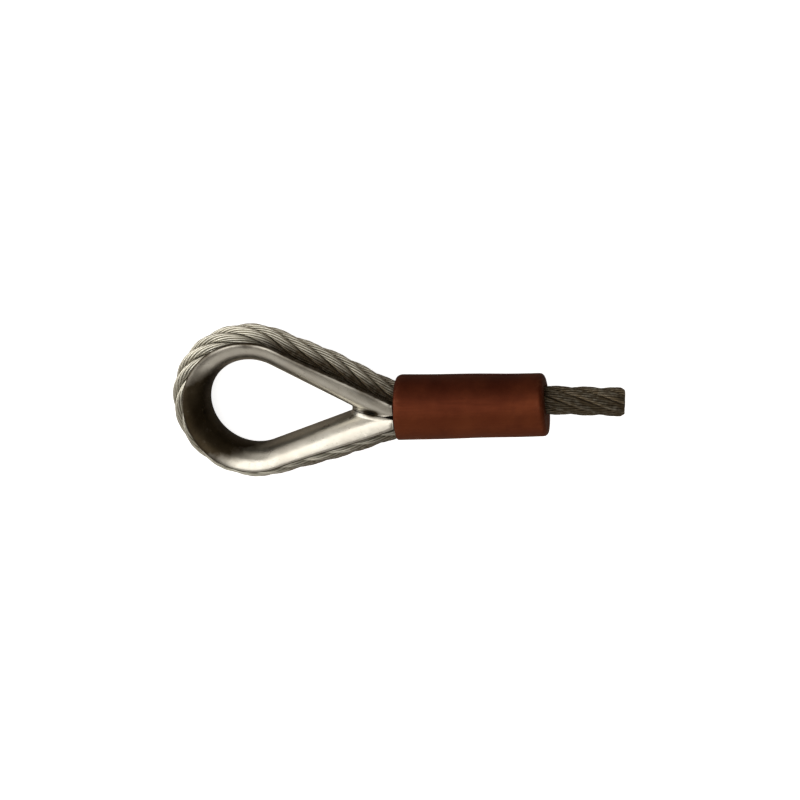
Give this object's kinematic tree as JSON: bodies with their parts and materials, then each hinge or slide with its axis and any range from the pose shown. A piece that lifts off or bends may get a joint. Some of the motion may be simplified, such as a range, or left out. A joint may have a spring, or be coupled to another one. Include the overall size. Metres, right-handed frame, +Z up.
{
  "type": "thimble eye",
  "caption": "Ferrule-secured wire rope eye on a pressed steel teardrop thimble, with a swaged red-brown ferrule and a short cut rope stub.",
  "frame": {"origin": "bottom centre of the whole object's bounding box, lying flat; its lowest point is the underside of the ferrule", "axes": "+X along the ferrule from the eye towards the rope's cut end, +Y across the eye towards the rope's live leg, +Z up, square to the plane of the eye"},
  "size_m": [0.1582, 0.0558, 0.0228],
  "materials": {
    "zinc_steel": "hot-dip galvanised, dull silver with brown grime in the hollows",
    "rope_wire": "drawn galvanised wire, greased and darkened towards the cut end",
    "core_wire": "drawn wire in dark grease",
    "browned_copper": "swaged copper browned to a dark red, satin"
  },
  "bodies": {
    "root": {"thimble": "zinc_steel", "ferrule": "browned_copper", "strand_1": "rope_wire", "strand_2": "rope_wire", "strand_3": "rope_wire", "strand_4": "rope_wire", "strand_5": "rope_wire", "strand_6": "rope_wire", "core_king": "core_wire", "core_strand_1": "core_wire", "core_strand_2": "core_wire", "core_strand_3": "core_wire", "core_strand_4": "core_wire", "core_strand_5": "core_wire", "core_strand_6": "core_wire"}
  },
  "joints": []
}
